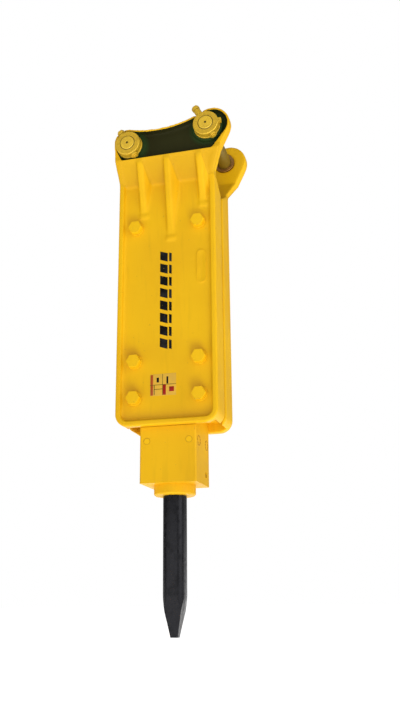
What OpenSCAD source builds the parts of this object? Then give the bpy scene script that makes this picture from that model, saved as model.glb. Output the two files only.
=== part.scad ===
// Hydraulic breaker hammer for an excavator, top-mounted open type.
// Two flanged side plates are bolted across a power cell (front head, cylinder and back head held
// together by four tie rods). Two pins through the plates' ears carry the hammer on the machine.
// Millimetres. +Z runs up along the tool, +Y to the rear plate, +X to the stick pin's side.
// The origin is the middle of the stick pin. Heights named *_z are measured from the side plates'
// bottom edge, and X from the tool's axis; in_frame() moves both to the origin.

/* [Tool] */
// Diameter of the chisel's shank
tool_d = 75; // [70:1:76]
// Length of chisel that stands out below the front cover at rest
tool_out = 426; // [300:10:520]
// Width across the flats at the blunt end of the chisel's point
tip_w = 23; // [14:1:40]
// Length of the four-sided point
point_len = 133; // [90:1:180]
// Distance that the chisel slides up from its retaining pins
tool_travel = 50; // [20:1:50]

/* [Piston and valve] */
// Stroke of the piston
piston_stroke = 80; // [50:1:80]
// Diameter of the piston's two sealing lands
piston_d = 88; // [86:1:90]
// Diameter of the piston's lower rod, which strikes the chisel
rod_d = 72; // [66:1:73]
// Travel of the valve spool
spool_travel = 12; // [6:1:16]
// Diameter of the valve spool's lands
spool_d = 28; // [22:1:30]

/* [Side plates] */
// Half of the width of a side plate
plate_half_w = 170; // [168:1:174]
// Distance from the hammer's middle plane to the outer face of a side plate's rim
rim_out = 105; // [103:1:108]
// Width of the rim around the recessed panel
rim_w = 18; // [14:1:19]
// Depth of the panel below the rim
recess_depth = 14; // [10:1:16]
// Distance from the middle plane to the inner edge of the side flanges
flange_in = 10; // [8:1:20]
// Radius of the plate's two bottom corners
corner_r = 42; // [36:1:48]
// Thickness of the three gusset ribs
rib_t = 20; // [14:1:24]

/* [Ears and mounting pins] */
// Diameter of the two mounting pins
pin_d = 50; // [45:1:55]
// Clear gap between the two ears, where the machine's stick goes
ear_gap = 224; // [216:1:226]
// Distance from the middle plane to the outer edge of an ear
ear_out = 150; // [148:1:156]
// X of the link pin, from the tool's axis
link_pin_x = -121.5; // [-123.5:0.5:-119.5]
// Height of the link pin above the plates' bottom
link_pin_z = 981.5; // [980:0.5:984]
// X of the stick pin, from the tool's axis
stick_pin_x = 156; // [154:1:159]
// Height of the stick pin above the plates' bottom
stick_pin_z = 1013; // [1010:1:1016]
// Outer diameter of the pin collars
collar_d = 88; // [84:1:92]

/* [Power cell] */
// Half of the width of the power cell's three castings
cell_half_w = 92.5; // [90:0.5:94]
// Half of the depth of the front head's lower block
block_half_d = 80; // [78:1:82]
// Length of the front head below the side plates
block_drop = 179; // [170:1:190]
// Diameter of the front cover's flange
cover_d = 133; // [126:1:140]
// Thickness of the front cover's flange
cover_t = 33; // [24:1:40]
// Diameter of the four tie rods
tie_rod_d = 27; // [24:1:28]
// Bore of the two threaded oil ports
port_d = 30.3; // [24:0.1:31]

/* [Hidden] */
$fn = 96;

// Fits: radial clearance of a sliding pair, of a fixed pair, and of a bolt in its hole
slide_gap = 0.05;
seat_gap = 0.02;
hole_gap = 0.75;
// Overshoot of a cut past the face that it opens, and a length longer than any part
over = 1;
far = 2000;
// A hexagon's corner radius over half of its width across flats
hex_ratio = 1 / cos(30);

// Side plates
panel_t = 16;
body_half_d = rim_out - recess_depth - panel_t;
lap_z = 850;                                 // step where the thicker ear section begins
lap_t = 6;
kink_z = 866;                                // where the right edge turns out to the stick ear
flare_low_z = 856;
flare_high_z = 926;
shelf_z = 926;                               // top of the shelf, and floor of the ear's pocket
shelf_t = 8;
ear_in = ear_gap / 2;
ear_wall = 14;
ear_rim = 8;
flange_fall = 40;                            // slope of the side flanges' top edge
ramp_lip = 6;                                // the shelf's edge stands out past the recess
port_window_z = [296, 496];                  // window in the side flanges at the oil ports
port_window_half = 50;
link_ear_r = 46;
stick_ear_r = 63;
link_ear_shift = [-7.5, 17.5];               // from a pin to the middle of its ear's rounding
stick_ear_shift = [16, 2];
ear_saddle_r = 360;                          // the concave top edge between the two ears
link_boss_r = 46;
stick_boss_r = 54;
boss_out = 141;
bush_r = 36;
bush_lip = 4;
bush_in = ear_in - bush_lip;
collar_out = 166;
collar_ease = 2;
tab_out = 9;
tab_w = 14;
tab_t = 12;
tab_set = 3;
tab_low_z = 2;
pin_out = 168.5;
pin_ease = 2;
centre_r = 2.5;
centre_depth = 5;
// Corners left solid at the lower ends of the ear's pocket
pocket_left = [[-146, shelf_z - over], [-162, 957], [-172, 984], [-200, 984], [-200, shelf_z - over]];
pocket_right = [[168, shelf_z - over], [178, 935], [215, 982], [250, 1027], [250, shelf_z - over]];
rib_x = [-84, 12, 125];
rib_foot_z = [731, 640, 750];
rib_out = 148;
slot_pad_x = 118;
slot_pad_z = [484, 568];
slot_pad_r = 15;
slot_pad_line = 4;
slot_pad_t = 2.5;

// Through bolts across the plates, M27
bolt_x = 109;
bolt_z = [92, 214, 688];
bolt_r = 13.5;
bolt_af = 41;
bolt_head_t = 17;
bolt_nut_t = 22;
washer_r = 25;
washer_t = 4;
bolt_tail = 5;
panel_out = rim_out - recess_depth;

// Lock bolts across the collars, M16
lock_r = 8;
lock_af = 24;
lock_head_t = 12;
lock_nut_t = 9;
lock_tilt = 29;
lock_y = (boss_out + collar_out) / 2;
lock_out = collar_d / 2;
lock_spacer_t = [2, 22];                      // link pin, stick pin
lock_neck_t = 2;
lock_relief_r = 14.5;
lock_tail = 3;

// Tool and front head
tool_r = tool_d / 2;
block_z = -block_drop;
cover_z = block_z - cover_t;
tip_z = cover_z - tool_out;
strike_z = 175;                              // lower end of the piston, just clear of the raised tool
strike_gap = 0.5;
tool_top_z = strike_z - strike_gap - tool_travel;
retainer_y = 47;
retainer_z = -47;
retainer_r = 16;
notch_gap = 0.5;
notch_y = retainer_y - retainer_r - 2 * notch_gap;
notch_top_z = retainer_z + retainer_r + notch_gap;
notch_low_z = retainer_z - retainer_r - notch_gap - tool_travel;
head_top_z = 240;
head_bore_r = 55;
cover_sleeve_z = -95;
thrust_low_z = 20;
thrust_top_z = 100;
tool_ease = 4;
flat_run = 60;                               // how far the point's flats are cut past its length
strike_bore_r = 46;
lug_half_w = 128;
head_lug_z = [32, 240];
block_ease = 4;
block_seam = 1;                              // gap below the side plates
retainer_wall = 12;
grease_r = 2;
stop_x = 69;
stop_r = 6;
plug_r = 10;
plug_t = 8;
cover_pin_y = 58;
cover_pin_z = -139;
cover_pin_r = 8;
cover_pin_wall = 20;
cover_ease = 4;
nipple_y = 39;
nipple_z = -144;
nipple_r = 5;
nipple_well_r = 10;
nipple_well_t = 12;
nipple_x = cell_half_w - nipple_well_t;
nipple_stem = 8;
nipple_af = 11;
nipple_hex_t = 4;
nipple_ball_r = 3.3;

// Cylinder and piston
piston_r = piston_d / 2;
rod_r = rod_d / 2;
top_rod_r = 38;
bore_low_z = 330;
land_low_z = 340;
land_top_z = 425;
piston_top_z = 600;
end_room = 10;                               // oil cushion above the top of the stroke
bore_top_z = land_top_z + piston_stroke + end_room;
piston_ease = 3;
ring_groove_w = 3;
ring_groove_z = [8, 18];
waist_half = 14;
waist_depth = 6;
cylinder_top_z = 565;
ring_port_r = 52;
ring_port_half = 10;
cell_gap = 1;                                // between the cylinder and a side plate
in_port_z = 342;
out_port_z = 450;
port_r = port_d / 2;
port_depth = 22;
gallery_r = 8;
port_boss_x = 128;
port_boss_half = 26;
adjuster_z = 385;
adjuster_r = 8;
adjuster_in = piston_r + 12;
adjuster_bleed_r = 3;
adjuster_out = 20;
adjuster_socket = 8;
adjuster_nut_af = 24;
adjuster_nut_t = 10;
tie_x = 66;
tie_y = 50;
tie_r = tie_rod_d / 2;
tie_low_z = 60;
tie_af = 41;
tie_nut_t = 22;
tie_washer_r = 24;
dowel_r = 5;
dowel_y = 63;
dowel_half = 14;

// Seals: height of the groove's floor, groove height and groove radius
wiper_seat = [262, 8, 43];
packing_seat = [282, 10, 44];
step_seat = [304, 8, 44];
gas_seat = [560, 10, 45];
retainer_r_out = 51.97;
retainer_top_z = 595;
o_ring_z = [528, 582];
o_ring_r = 2.5;
wide_r = 100;                                // larger than any ring's outer radius
lip_w = 3;
lip_z = 5;

// Back head
back_top_z = 770;
gas_chamber_r = 48;
gas_top_z = 735;
back_lug_z = [640, 736];
gas_valve_r = 12;
gas_valve_seat = 22;
gas_valve_af = 30;
gas_valve_hex_t = 10;
gas_stem_z = back_top_z + gas_valve_hex_t;
gas_stem_r = 7;
gas_stem_t = 14;
gas_drill_r = 2;
gas_feed_r = 3;
gas_cap_r = 13;
gas_cap_t = 22;
gas_cap_roof = 7;

// Valve
valve_x = 118;
housing_out = 146;
housing_half_d = 42;
housing_z = [300, 545];
sleeve_r = 21.98;
sleeve_z = [375, 505];
spool_low_z = 388;
spool_slack = 1;
spool_len = sleeve_z[1] - spool_low_z - spool_travel - spool_slack;
spool_end_t = 24;
spool_mid_z = 44;
spool_mid_t = 16;
spool_waist = 5;
sleeve_seat_w = 5;
sleeve_groove_half = 6;
sleeve_groove_t = 2;
sleeve_port_r = 4;
valve_drain_r = 6;
valve_drain_t = 10;
spool_r = spool_d / 2 - slide_gap / 2;
plug_hex_t = 12;
plug_af = 36;
valve_gallery_z = [400, 470];
valve_gallery_r = 5;
screw_y = 30;
screw_z = [318, 422, 527];
screw_r = 6;
screw_head_r = 9;
screw_head_t = 12;
screw_socket = 10;
screw_socket_t = 7;
screw_low_x = 74;

paint = "gold";
steel = "slategray";
dark = "dimgray";
zinc = "darkkhaki";
rubber = "black";
bronze = "peru";
bright = "lightsteelblue";

// ---------- helpers ----------

// Moves a module's own heights and widths to the hammer's origin
module in_frame() {
    translate([-stick_pin_x, 0, -stick_pin_z]) children();
}

// Extrudes an XZ outline along Y from y0 to y1
module slab(y0, y1) {
    translate([0, y1, 0]) rotate([90, 0, 0]) linear_extrude(y1 - y0) children();
}

// Extrudes a YZ profile along X from x0 to x1
module beam(x0, x1) {
    translate([x0, 0, 0]) rotate([90, 0, 90]) linear_extrude(x1 - x0) children();
}

// Upright cylinder from z0 to z1
module post(r, z0, z1) {
    translate([0, 0, z0]) cylinder(r = r, h = z1 - z0);
}

// Upright ring from z0 to z1
module ring(r_out, r_in, z0, z1) {
    difference() {
        post(r_out, z0, z1);
        post(r_in, z0 - over, z1 + over);
    }
}

// Cylinder along Y from y0 to y1 at (x, z)
module bar_y(r, x, z, y0, y1) {
    translate([x, y1, z]) rotate([90, 0, 0]) cylinder(r = r, h = y1 - y0);
}

// Cylinder along X from x0 to x1 at (y, z)
module bar_x(r, y, z, x0, x1) {
    translate([x0, y, z]) rotate([0, 90, 0]) cylinder(r = r, h = x1 - x0);
}

// Hexagonal prism standing on z = 0, by its width across flats
module hexagon(af, h) {
    cylinder(r = af / 2 * hex_ratio, h = h, $fn = 6);
}

// Box centred on X and Y
module block(half_x, half_y, z0, z1) {
    translate([-half_x, -half_y, z0]) cube([2 * half_x, 2 * half_y, z1 - z0]);
}

// Copies to the four tie rod places
module at_tie_rods() {
    for (sx = [-1, 1], sy = [-1, 1]) translate([sx * tie_x, sy * tie_y, 0]) children();
}

// Copies to the two dowel places
module at_dowels() {
    for (s = [-1, 1]) translate([0, s * dowel_y, 0]) children();
}

// ---------- side plates ----------

// Point at the fraction t of the way from p to q
function along(p, q, t) = p + (q - p) * t;
// Angle of the line from p to q
function heading(p, q) = atan2(q[1] - p[1], q[0] - p[0]);
// Third corner of a triangle on base p-q, with sides a at p and b at q, on the left of p-q
function apex(p, q, a, b) =
    let (d = norm(q - p),
         u = (a * a - b * b + d * d) / (2 * d),
         h = sqrt(a * a - u * u),
         g = heading(p, q))
    [p[0] + u * cos(g) - h * sin(g), p[1] + u * sin(g) + h * cos(g)];

link_c = [link_pin_x, link_pin_z];
stick_c = [stick_pin_x, stick_pin_z];
link_ear_c = link_c + link_ear_shift;
stick_ear_c = stick_c + stick_ear_shift;
saddle_c = apex(link_ear_c, stick_ear_c, link_ear_r + ear_saddle_r, stick_ear_r + ear_saddle_r);
// Where the sloping right edge leaves the kink and touches the stick ear's circle
kink = [plate_half_w, kink_z];
slope_angle = heading(kink, stick_ear_c) - asin(stick_ear_r / norm(stick_ear_c - kink));
slope_len = sqrt(pow(norm(stick_ear_c - kink), 2) - stick_ear_r * stick_ear_r);

// Outline of a side plate, moved in by e
module plate_outline(e) {
    w = plate_half_w - e;
    r = corner_r - e;
    up_slope = [cos(slope_angle), sin(slope_angle)];
    inward = [-up_slope[1], up_slope[0]];
    slope_top = kink + slope_len * up_slope + e * inward;
    slope_low = [w, kink_z + e * (1 - sin(slope_angle)) / cos(slope_angle)];
    difference() {
        union() {
            translate([-w, corner_r]) square([2 * w, kink_z - corner_r]);
            translate([-w + r, e]) square([2 * (w - r), corner_r]);
            for (s = [-1, 1]) translate([s * (w - r), corner_r]) circle(r);
            translate(link_ear_c) circle(link_ear_r - e);
            translate(stick_ear_c) circle(stick_ear_r - e);
            polygon([[-w, kink_z - over], [w, kink_z - over], slope_low, slope_top, stick_ear_c,
                     along(stick_ear_c, saddle_c, (stick_ear_r - e) / norm(saddle_c - stick_ear_c)),
                     along(link_ear_c, saddle_c, (link_ear_r - e) / norm(saddle_c - link_ear_c)),
                     link_ear_c, [link_ear_c[0] - link_ear_r + e, link_ear_c[1]]]);
        }
        translate(saddle_c) circle(ear_saddle_r + e, $fn = 240);
    }
}

// The part of an outline between two heights
module between(z0, z1) {
    intersection() {
        children();
        translate([-far / 2, z0]) square([far, z1 - z0]);
    }
}

// Limits of a side plate in Y: flat below, flared out to the ear
module plate_profile() {
    polygon([[-rim_out, -over], [-rim_out, flare_low_z], [-ear_out, flare_high_z], [-ear_out, far],
             [-ear_in, far], [-ear_in, flare_high_z], [-body_half_d, flare_low_z],
             [-flange_in, flare_low_z - flange_fall], [-flange_in, -over]]);
}

// Recess above the step, whose floor slopes out to the shelf's edge
module ramp() {
    intersection() {
        slab(-far, 0) between(lap_z - over, shelf_z - ramp_lip) plate_outline(rim_w);
        beam(-far / 2, far / 2) polygon([[-far, lap_z - over], [-panel_out - lap_t, lap_z - over],
                                         [-panel_out - lap_t, lap_z],
                                         [-ear_out + ramp_lip, shelf_z - ramp_lip],
                                         [-far, shelf_z - ramp_lip]]);
    }
}

module ear_pocket() {
    difference() {
        between(shelf_z, far) plate_outline(ear_rim);
        polygon(pocket_left);
        polygon(pocket_right);
    }
}

module rib(i) {
    beam(rib_x[i] - rib_t / 2, rib_x[i] + rib_t / 2)
        polygon([[-panel_out + over, rib_foot_z[i]], [-panel_out, rib_foot_z[i]],
                 [-rib_out, shelf_z - shelf_t], [-rib_out, shelf_z - over],
                 [-ear_in - over, shelf_z - over], [-panel_out + over, lap_z]]);
}

// Raised obround outline on the panel
module slot_pad() {
    slab(-panel_out - slot_pad_t, -panel_out + over) difference() {
        slot_shape(slot_pad_r);
        slot_shape(slot_pad_r - slot_pad_line);
    }
}

module slot_shape(r) {
    for (z = slot_pad_z) translate([slot_pad_x, z]) circle(r);
    translate([slot_pad_x - r, slot_pad_z[0]]) square([2 * r, slot_pad_z[1] - slot_pad_z[0]]);
}

module boss(c, r) {
    slab(-boss_out, -ear_in - ear_wall + over) intersection() {
        translate(c) circle(r);
        plate_outline(0);
    }
}

// The front plate; the rear one is its mirror image
module side_plate() {
    inner_w = plate_half_w - rim_w;
    difference() {
        union() {
            difference() {
                intersection() {
                    slab(-ear_out, -flange_in) plate_outline(0);
                    beam(-far / 2, far / 2) plate_profile();
                }
                slab(-far, -panel_out) between(-over, lap_z) plate_outline(rim_w);
                ramp();
                slab(-far, -ear_in - ear_wall) ear_pocket();
                translate([-inner_w, -body_half_d, -over]) cube([2 * inner_w, body_half_d, shelf_z]);
                translate([-far / 2, -port_window_half, port_window_z[0]])
                    cube([far / 2, port_window_half, port_window_z[1] - port_window_z[0]]);
            }
            for (i = [0:2]) rib(i);
            boss(link_c, link_boss_r);
            boss(stick_c, stick_boss_r);
            slot_pad();
        }
        for (c = [link_c, stick_c]) bar_y(bush_r, c[0], c[1], -far / 2, 0);
        for ($pin = [0, 1]) at_pin() on_lock_axis() post(lock_relief_r, lock_out, far / 2);
        for (s = [-1, 1], z = bolt_z) bar_y(bolt_r + hole_gap, s * bolt_x, z, -far / 2, 0);
    }
}

module front_side_plate() {
    color(paint) in_frame() side_plate();
}

module rear_side_plate() {
    color(paint) in_frame() mirror([0, 1, 0]) side_plate();
}

// ---------- mounting pins ----------

// Copies to both pins and both sides; the front side is drawn.
// $pin is 0 at the link pin and 1 at the stick pin.
module at_pin_ends() {
    for ($pin = [0, 1], m = [0, 1]) mirror([0, m, 0]) at_pin() children();
}

module at_pin() {
    c = [link_c, stick_c][$pin];
    translate([c[0], 0, c[1]]) children();
}

module ear_bushes() {
    color(bronze) in_frame() at_pin_ends() difference() {
        bar_y(bush_r - seat_gap, 0, 0, -boss_out, -bush_in);
        bar_y(pin_d / 2 + slide_gap, 0, 0, -boss_out - over, -bush_in + over);
    }
}

// Places a lock bolt's own axis, head up, across one collar of the front side
module on_lock_axis() {
    translate([0, -lock_y, 0]) rotate([0, -lock_tilt, 0]) children();
}

module lock_hole() {
    on_lock_axis() cylinder(r = lock_r + hole_gap / 2, h = far / 2, center = true);
}

// Cylinder along Y about the origin, with its outer front edge eased
module eased_end(r, ease, y_out, y_in) {
    bar_y(r, 0, 0, -y_out + ease, -y_in);
    translate([0, -y_out + ease, 0]) rotate([90, 0, 0]) cylinder(r1 = r, r2 = r - ease, h = ease);
}

module mounting_pin($pin) {
    at_pin() for (m = [0, 1]) mirror([0, m, 0]) difference() {
        eased_end(pin_d / 2, pin_ease, pin_out, 0);
        bar_y(centre_r, 0, 0, -pin_out - over, -pin_out + centre_depth);
        lock_hole();
    }
}

module stick_pin() {
    color(bright) in_frame() mounting_pin(1);
}

module link_pin() {
    color(bright) in_frame() mounting_pin(0);
}

// Collars welded to the ears' bosses; those of the stick pin have a stop tab
module pin_collars() {
    color(zinc) in_frame() at_pin_ends() difference() {
        union() {
            eased_end(collar_d / 2, collar_ease, collar_out, boss_out);
            if ($pin == 1) translate([0, -collar_out + tab_set, -tab_low_z])
                cube([collar_d / 2 + tab_out, tab_t, tab_w]);
        }
        bar_y(pin_d / 2 + hole_gap, 0, 0, -collar_out - over, -boss_out + over);
        lock_hole();
    }
}

module pin_lock_bolts() {
    color(zinc) in_frame() at_pin_ends() on_lock_axis() {
        spacer_top = lock_out + lock_spacer_t[$pin];
        post(lock_r, -lock_out - lock_nut_t - lock_tail, spacer_top + lock_neck_t);
        post(lock_af / 2, lock_out, spacer_top);
        translate([0, 0, spacer_top + lock_neck_t]) hexagon(lock_af, lock_head_t);
    }
}

module pin_lock_nuts() {
    color(zinc) in_frame() at_pin_ends() on_lock_axis() difference() {
        translate([0, 0, -lock_out - lock_nut_t]) hexagon(lock_af, lock_nut_t);
        post(lock_r + seat_gap, -lock_out - lock_nut_t - over, -lock_out + over);
    }
}

// ---------- through bolts ----------

module at_plate_bolts() {
    for (s = [-1, 1], z = bolt_z) translate([s * bolt_x, 0, z]) children();
}

module plate_bolts() {
    seat = panel_out + washer_t;
    color(paint) in_frame() at_plate_bolts() {
        bar_y(bolt_r, 0, 0, -seat, seat + bolt_nut_t + bolt_tail);
        translate([0, -seat, 0]) rotate([90, 0, 0]) hexagon(bolt_af, bolt_head_t);
    }
}

module plate_bolt_nuts() {
    seat = panel_out + washer_t;
    color(paint) in_frame() at_plate_bolts() difference() {
        translate([0, seat + bolt_nut_t, 0]) rotate([90, 0, 0]) hexagon(bolt_af, bolt_nut_t);
        bar_y(bolt_r + seat_gap, 0, 0, seat - over, seat + bolt_nut_t + over);
    }
}

module plate_bolt_washers() {
    color(paint) in_frame() at_plate_bolts() difference() {
        for (y = [-panel_out - washer_t, panel_out]) bar_y(washer_r, 0, 0, y, y + washer_t);
        bar_y(bolt_r + hole_gap, 0, 0, -far / 2, far / 2);
    }
}

// ---------- front head ----------

module tool_retainer_bars(r) {
    for (s = [-1, 1]) bar_x(r, s * retainer_y, retainer_z, -cell_half_w + retainer_wall, cell_half_w);
}

module stop_bars(r, y_out, y_in) {
    for (sx = [-1, 1], m = [0, 1]) mirror([0, m, 0]) bar_y(r, sx * stop_x, retainer_z, -y_out, -y_in);
}

// Outline of the lower block with eased corners
module block_outline() {
    w = cell_half_w;
    d = block_half_d;
    c = block_ease;
    polygon([[-w + c, -d], [w - c, -d], [w, -d + c], [w, d - c],
             [w - c, d], [-w + c, d], [-w, d - c], [-w, -d + c]]);
}

module front_head() {
    color(paint) in_frame() difference() {
        union() {
            translate([0, 0, block_z]) linear_extrude(block_drop - block_seam) block_outline();
            block(cell_half_w, body_half_d, -2 * block_seam, head_top_z);
            block(lug_half_w, body_half_d, head_lug_z[0], head_lug_z[1]);
        }
        post(head_bore_r, block_z - over, thrust_top_z);
        post(strike_bore_r, 0, head_top_z + over);
        for (s = [-1, 1], z = [bolt_z[0], bolt_z[1]])
            bar_y(bolt_r + hole_gap, s * bolt_x, z, -far / 2, far / 2);
        at_tie_rods() post(tie_r + seat_gap, tie_low_z, head_top_z + over);
        at_dowels() post(dowel_r + seat_gap, head_top_z - dowel_half, head_top_z + over);
        tool_retainer_bars(retainer_r + seat_gap);
        stop_bars(stop_r + seat_gap, block_half_d + over, retainer_y - retainer_r);
        stop_bars(plug_r + seat_gap, block_half_d + over, block_half_d - plug_t);
        bar_x(cover_pin_r + seat_gap, -cover_pin_y, cover_pin_z, -cell_half_w + cover_pin_wall, far / 2);
        bar_x(nipple_well_r, nipple_y, nipple_z, nipple_x, far / 2);
        bar_x(nipple_r + seat_gap, nipple_y, nipple_z, nipple_x - nipple_stem - over, far / 2);
        bar_x(grease_r, nipple_y, nipple_z, 0, far / 2);
    }
}

module thrust_bush() {
    color(steel) in_frame() ring(head_bore_r - seat_gap, tool_r + slide_gap, thrust_low_z, thrust_top_z);
}

// Lower tool bush with its flange, held by the cover pin in a groove
module front_cover() {
    color(paint) in_frame() difference() {
        union() {
            post(head_bore_r - seat_gap, block_z, cover_sleeve_z);
            post(cover_d / 2, cover_z + cover_ease, block_z);
            translate([0, 0, cover_z])
                cylinder(r1 = cover_d / 2 - cover_ease, r2 = cover_d / 2, h = cover_ease);
        }
        post(tool_r + slide_gap, cover_z - over, cover_sleeve_z + over);
        bar_x(cover_pin_r + seat_gap, -cover_pin_y, cover_pin_z, -far / 2, far / 2);
        bar_x(grease_r, nipple_y, nipple_z, 0, far / 2);
    }
}

module cover_pin() {
    color(steel) in_frame()
        bar_x(cover_pin_r, -cover_pin_y, cover_pin_z, -cell_half_w + cover_pin_wall, cell_half_w);
}

module tool_retaining_pins() {
    color(steel) in_frame() difference() {
        tool_retainer_bars(retainer_r);
        stop_bars(stop_r + seat_gap, far / 2, 0);
    }
}

module retaining_stop_pins() {
    color(steel) in_frame() stop_bars(stop_r, block_half_d - plug_t, retainer_y - retainer_r);
}

module stop_pin_plugs() {
    color(rubber) in_frame() stop_bars(plug_r, block_half_d, block_half_d - plug_t);
}

module grease_nipple() {
    color(bronze) in_frame() {
        bar_x(nipple_r, nipple_y, nipple_z, nipple_x - nipple_stem, nipple_x + nipple_stem);
        translate([nipple_x, nipple_y, nipple_z]) rotate([0, 90, 0]) hexagon(nipple_af, nipple_hex_t);
        translate([nipple_x + nipple_stem, nipple_y, nipple_z]) sphere(r = nipple_ball_r);
    }
}

// Chisel with a four-sided point, two retaining flats and an eased top
module chisel() {
    slope = (tool_d - tip_w) / 2 / point_len;
    reach = point_len + flat_run;
    half = tip_w / 2;
    color(dark) in_frame() difference() {
        union() {
            post(tool_r, tip_z, tool_top_z - tool_ease);
            translate([0, 0, tool_top_z - tool_ease])
                cylinder(r1 = tool_r, r2 = tool_r - tool_ease, h = tool_ease);
        }
        for (a = [0:90:270]) rotate([0, 0, a]) beam(-tool_r - over, tool_r + over)
            polygon([[half - slope * over, tip_z - over], [tool_d, tip_z - over],
                     [tool_d, tip_z + reach], [half + slope * reach, tip_z + reach]]);
        for (s = [0, 180]) rotate([0, 0, s]) translate([-tool_d, notch_y, notch_low_z])
            cube([2 * tool_d, tool_d, notch_top_z - notch_low_z]);
    }
}

// ---------- cylinder ----------

module cylinder_body_bores() {
    post(rod_r + slide_gap, head_top_z - over, bore_low_z + over);
    for (g = [wiper_seat, packing_seat, step_seat]) post(g[2], g[0], g[0] + g[1]);
    post(piston_r + slide_gap, bore_low_z, bore_top_z + over);
    post(retainer_r_out + seat_gap, bore_top_z, cylinder_top_z + over);
    for (z = [in_port_z, out_port_z]) post(ring_port_r, z - ring_port_half, z + ring_port_half);
}

module cylinder_body() {
    color(paint) in_frame() difference() {
        union() {
            block(cell_half_w, body_half_d - cell_gap, head_top_z, cylinder_top_z);
            for (z = [in_port_z, out_port_z]) translate([-port_boss_x, -port_boss_half, z - port_boss_half])
                cube([port_boss_x, 2 * port_boss_half, 2 * port_boss_half]);
        }
        cylinder_body_bores();
        for (z = [in_port_z, out_port_z]) {
            bar_x(gallery_r, 0, z, -port_boss_x + port_depth - over, 0);
            bar_x(port_r, 0, z, -far / 2, -port_boss_x + port_depth);
        }
        bar_x(valve_gallery_r, 0, in_port_z, 0, far / 2);
        for (z = valve_gallery_z) bar_x(valve_gallery_r, 0, z, 0, far / 2);
        bar_x(adjuster_r + seat_gap, 0, adjuster_z, -far / 2, -adjuster_in);
        bar_x(adjuster_bleed_r, 0, adjuster_z, -adjuster_in - over, 0);
        at_tie_rods() post(tie_r + hole_gap, head_top_z - over, cylinder_top_z + over);
        at_dowels() post(dowel_r + seat_gap, head_top_z - over, head_top_z + dowel_half);
        at_dowels() post(dowel_r + seat_gap, cylinder_top_z - dowel_half, cylinder_top_z + over);
        for (s = [-1, 1], z = screw_z) bar_x(screw_r + seat_gap, s * screw_y, z, screw_low_x, far / 2);
    }
}

module piston() {
    mid = (land_low_z + land_top_z) / 2;
    upper_z = piston_top_z - piston_ease;
    color(bright) in_frame() difference() {
        union() {
            translate([0, 0, strike_z]) cylinder(r1 = rod_r - piston_ease, r2 = rod_r, h = piston_ease);
            post(rod_r, strike_z + piston_ease, land_low_z);
            post(piston_r, land_low_z, land_top_z);
            post(top_rod_r, land_top_z, upper_z);
            translate([0, 0, upper_z])
                cylinder(r1 = top_rod_r, r2 = top_rod_r - piston_ease, h = piston_ease);
        }
        ring(wide_r, piston_r - waist_depth, mid - waist_half, mid + waist_half);
        for (g = ring_groove_z) {
            ring(wide_r, piston_r - 1, land_low_z + g, land_low_z + g + ring_groove_w);
            ring(wide_r, piston_r - 1, land_top_z - g - ring_groove_w, land_top_z - g);
        }
    }
}

module seal_retainer() {
    color(bright) in_frame() difference() {
        post(retainer_r_out, bore_top_z, retainer_top_z);
        post(top_rod_r + slide_gap, bore_top_z - over, retainer_top_z + over);
        post(gas_seat[2], gas_seat[0], gas_seat[0] + gas_seat[1]);
        for (z = o_ring_z) ring(wide_r, retainer_r_out - 2 * o_ring_r, z - o_ring_r, z + o_ring_r);
    }
}

module seal(seat, r_in) {
    ring(seat[2] - seat_gap, r_in + slide_gap, seat[0] + seat_gap, seat[0] + seat[1] - seat_gap);
}

module gas_seal() {
    color(rubber) in_frame() seal(gas_seat, top_rod_r);
}

module step_seal() {
    color(rubber) in_frame() seal(step_seat, rod_r);
}

module u_packing() {
    top_z = packing_seat[0] + packing_seat[1];
    color(rubber) in_frame() difference() {
        seal(packing_seat, rod_r);
        ring(packing_seat[2] - lip_w, rod_r + lip_w, top_z - lip_z, top_z + over);
    }
}

module dust_wiper() {
    color(rubber) in_frame() seal(wiper_seat, rod_r);
}

module retainer_o_rings() {
    color(rubber) in_frame() for (z = o_ring_z) translate([0, 0, z]) rotate_extrude()
        translate([retainer_r_out - o_ring_r - seat_gap, 0]) circle(o_ring_r - seat_gap, $fn = 24);
}

// ---------- back head and tie rods ----------

module back_head() {
    color(paint) in_frame() difference() {
        union() {
            block(cell_half_w, body_half_d - cell_gap, cylinder_top_z, back_top_z);
            block(lug_half_w, body_half_d, back_lug_z[0], back_lug_z[1]);
        }
        post(retainer_r_out + seat_gap, cylinder_top_z - over, retainer_top_z);
        post(gas_chamber_r, retainer_top_z - over, gas_top_z);
        post(gas_feed_r, gas_top_z - over, back_top_z);
        post(gas_valve_r + seat_gap, back_top_z - gas_valve_seat, back_top_z + over);
        for (s = [-1, 1]) bar_y(bolt_r + hole_gap, s * bolt_x, bolt_z[2], -far / 2, far / 2);
        at_tie_rods() post(tie_r + hole_gap, cylinder_top_z - over, back_top_z + over);
        at_dowels() post(dowel_r + seat_gap, cylinder_top_z - over, cylinder_top_z + dowel_half);
    }
}

module tie_rods() {
    color(steel) in_frame() at_tie_rods()
        post(tie_r, tie_low_z, back_top_z + washer_t + tie_nut_t + bolt_tail);
}

module tie_rod_nuts() {
    color(steel) in_frame() at_tie_rods() translate([0, 0, back_top_z + washer_t]) difference() {
        hexagon(tie_af, tie_nut_t);
        translate([0, 0, -over]) cylinder(r = tie_r + seat_gap, h = tie_nut_t + 2 * over);
    }
}

module tie_rod_washers() {
    color(steel) in_frame() at_tie_rods()
        ring(tie_washer_r, tie_r + hole_gap, back_top_z, back_top_z + washer_t);
}

module dowel_pins() {
    color(bright) in_frame() at_dowels() for (z = [head_top_z, cylinder_top_z])
        post(dowel_r, z - dowel_half + over, z + dowel_half - over);
}

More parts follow.
